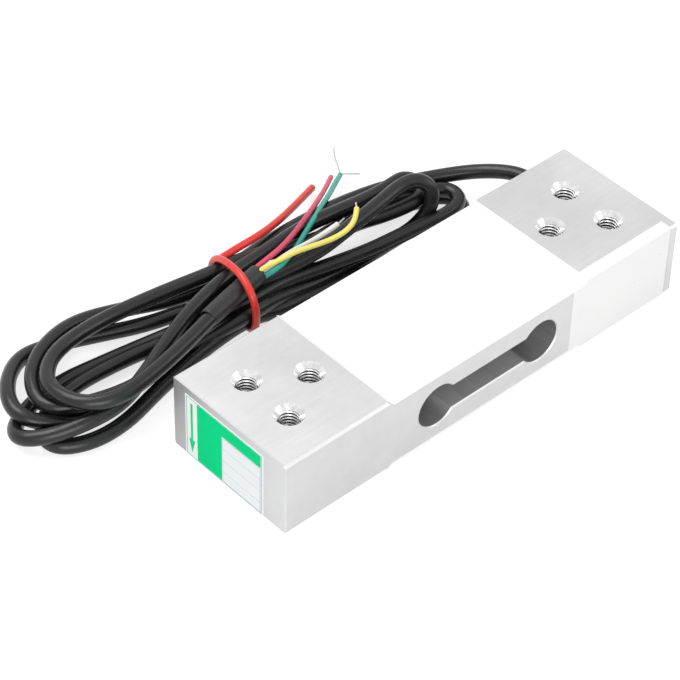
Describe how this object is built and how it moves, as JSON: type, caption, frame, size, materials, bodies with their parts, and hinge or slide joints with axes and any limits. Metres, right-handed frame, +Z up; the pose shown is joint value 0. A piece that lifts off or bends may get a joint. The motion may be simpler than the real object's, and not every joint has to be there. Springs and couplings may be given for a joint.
{
  "type": "single point load cell",
  "caption": "Single point load cell: milled aluminium bar with a bored flexure slot, white potting, tapped mounting holes and a tied hank of cable ending in stripped wires.",
  "frame": {"origin": "centre of the bar's underside, level with the bottom faces of its end blocks", "axes": "+X along the bar, towards the end block that the cable leaves; +Y towards the side that the hank lies on; +Z up, away from the base plate"},
  "size_m": [0.1605, 0.0968, 0.022],
  "materials": {
    "milled_aluminium": "fine milled, satin",
    "white_potting": "soft silicone, matt",
    "gauge_foil": "amber backing film",
    "bare_copper": "thin drawn wire",
    "circuit_board": "glass fibre board",
    "resistor_body": "glazed film resistor",
    "black_jacket": "smooth cable sheath",
    "black_sleeve": "heat-shrunk tube",
    "red_tie": "coated wire",
    "red_wire": "wire insulation",
    "green_wire": "wire insulation",
    "yellow_wire": "wire insulation",
    "white_wire": "wire insulation",
    "tinned_copper": "tinned strands",
    "label_film": "printed film"
  },
  "bodies": {
    "root": {"beam": "milled_aluminium", "strain_gauge_top_1": "gauge_foil", "strain_gauge_top_2": "gauge_foil", "terminal_strip_top": "circuit_board", "bridge_wires_top": "bare_copper", "top_potting": "white_potting", "strain_gauge_bottom_1": "gauge_foil", "strain_gauge_bottom_2": "gauge_foil", "terminal_strip_bottom": "circuit_board", "bridge_wires_bottom": "bare_copper", "bottom_potting": "white_potting", "compensation_board": "circuit_board", "trimming_resistors": "resistor_body", "cable_inner": "black_jacket", "cable_seal": "black_jacket", "inner_core_red": "red_wire", "inner_core_green": "green_wire", "inner_core_yellow": "yellow_wire", "inner_core_white": "white_wire", "side_potting": "white_potting", "rating_label": "label_film", "cable_hank": "black_jacket", "cable_lead": "black_jacket", "end_sleeve": "black_sleeve", "wire_tie": "red_tie", "core_red": "red_wire", "strands_red": "tinned_copper", "core_green": "green_wire", "strands_green": "tinned_copper", "core_yellow": "yellow_wire", "strands_yellow": "tinned_copper", "core_white": "white_wire", "strands_white": "tinned_copper"}
  },
  "joints": []
}
